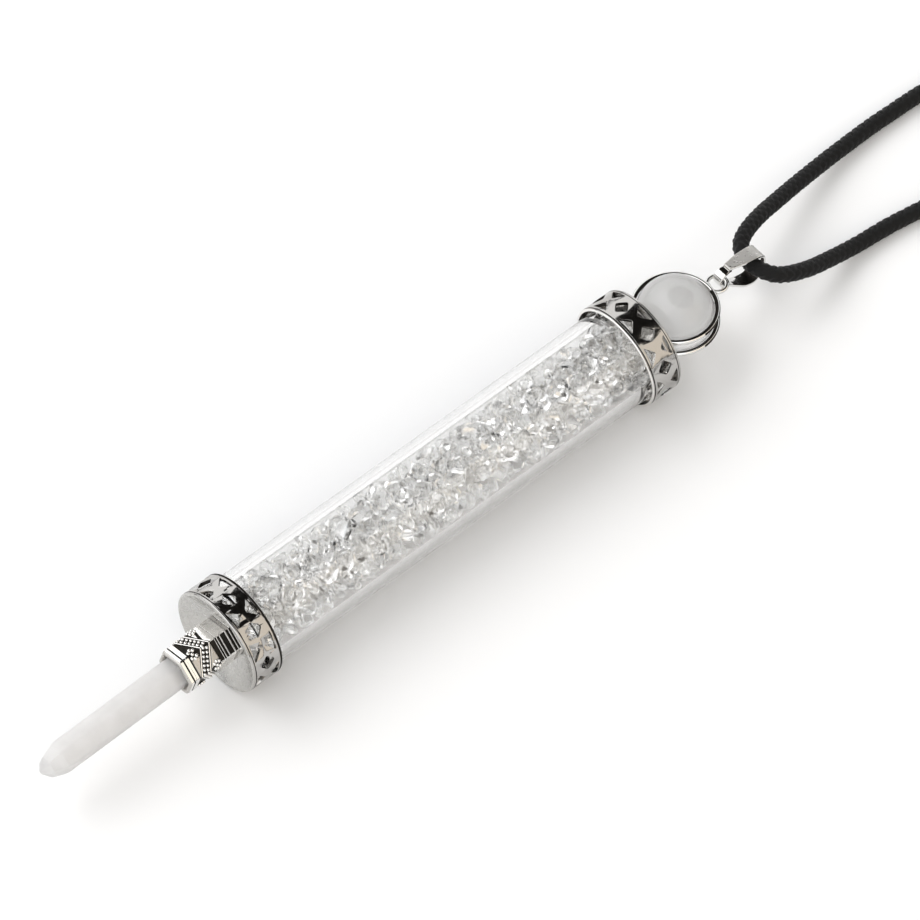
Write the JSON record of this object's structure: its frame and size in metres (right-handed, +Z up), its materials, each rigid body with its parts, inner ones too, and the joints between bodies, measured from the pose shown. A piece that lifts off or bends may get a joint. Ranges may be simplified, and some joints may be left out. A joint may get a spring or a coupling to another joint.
{
  "type": "vial_pendant",
  "caption": "Glass vial of white quartz chips between pierced silver caps, with a quartz point at one end and a caged quartz ball at the other, on a black braided cord.",
  "frame": {"origin": "on the table under the middle of the pendant's own box, cord and clasp left out", "axes": "+Z up from the table; the vial points 41.4 degrees from +X towards +Y, from the quartz point to the bail; the cord's loop lies towards +X"},
  "size_m": [0.2225, 0.1383, 0.017],
  "materials": {
    "clear_quartz": "frosted polish",
    "white_quartz": "rough broken stone",
    "tube_glass": "clear polished",
    "silver": "polished cast silver",
    "black_braid": "round braid"
  },
  "bodies": {
    "root": {"crystal_point": "clear_quartz", "point_collar": "silver", "lower_cap": "silver", "glass_tube": "tube_glass", "quartz_chips": "white_quartz", "upper_cap": "silver", "crystal_ball": "clear_quartz", "ball_cage": "silver", "bail": "silver", "neck_cord": "black_braid", "cord_clasp": "silver"}
  },
  "joints": []
}
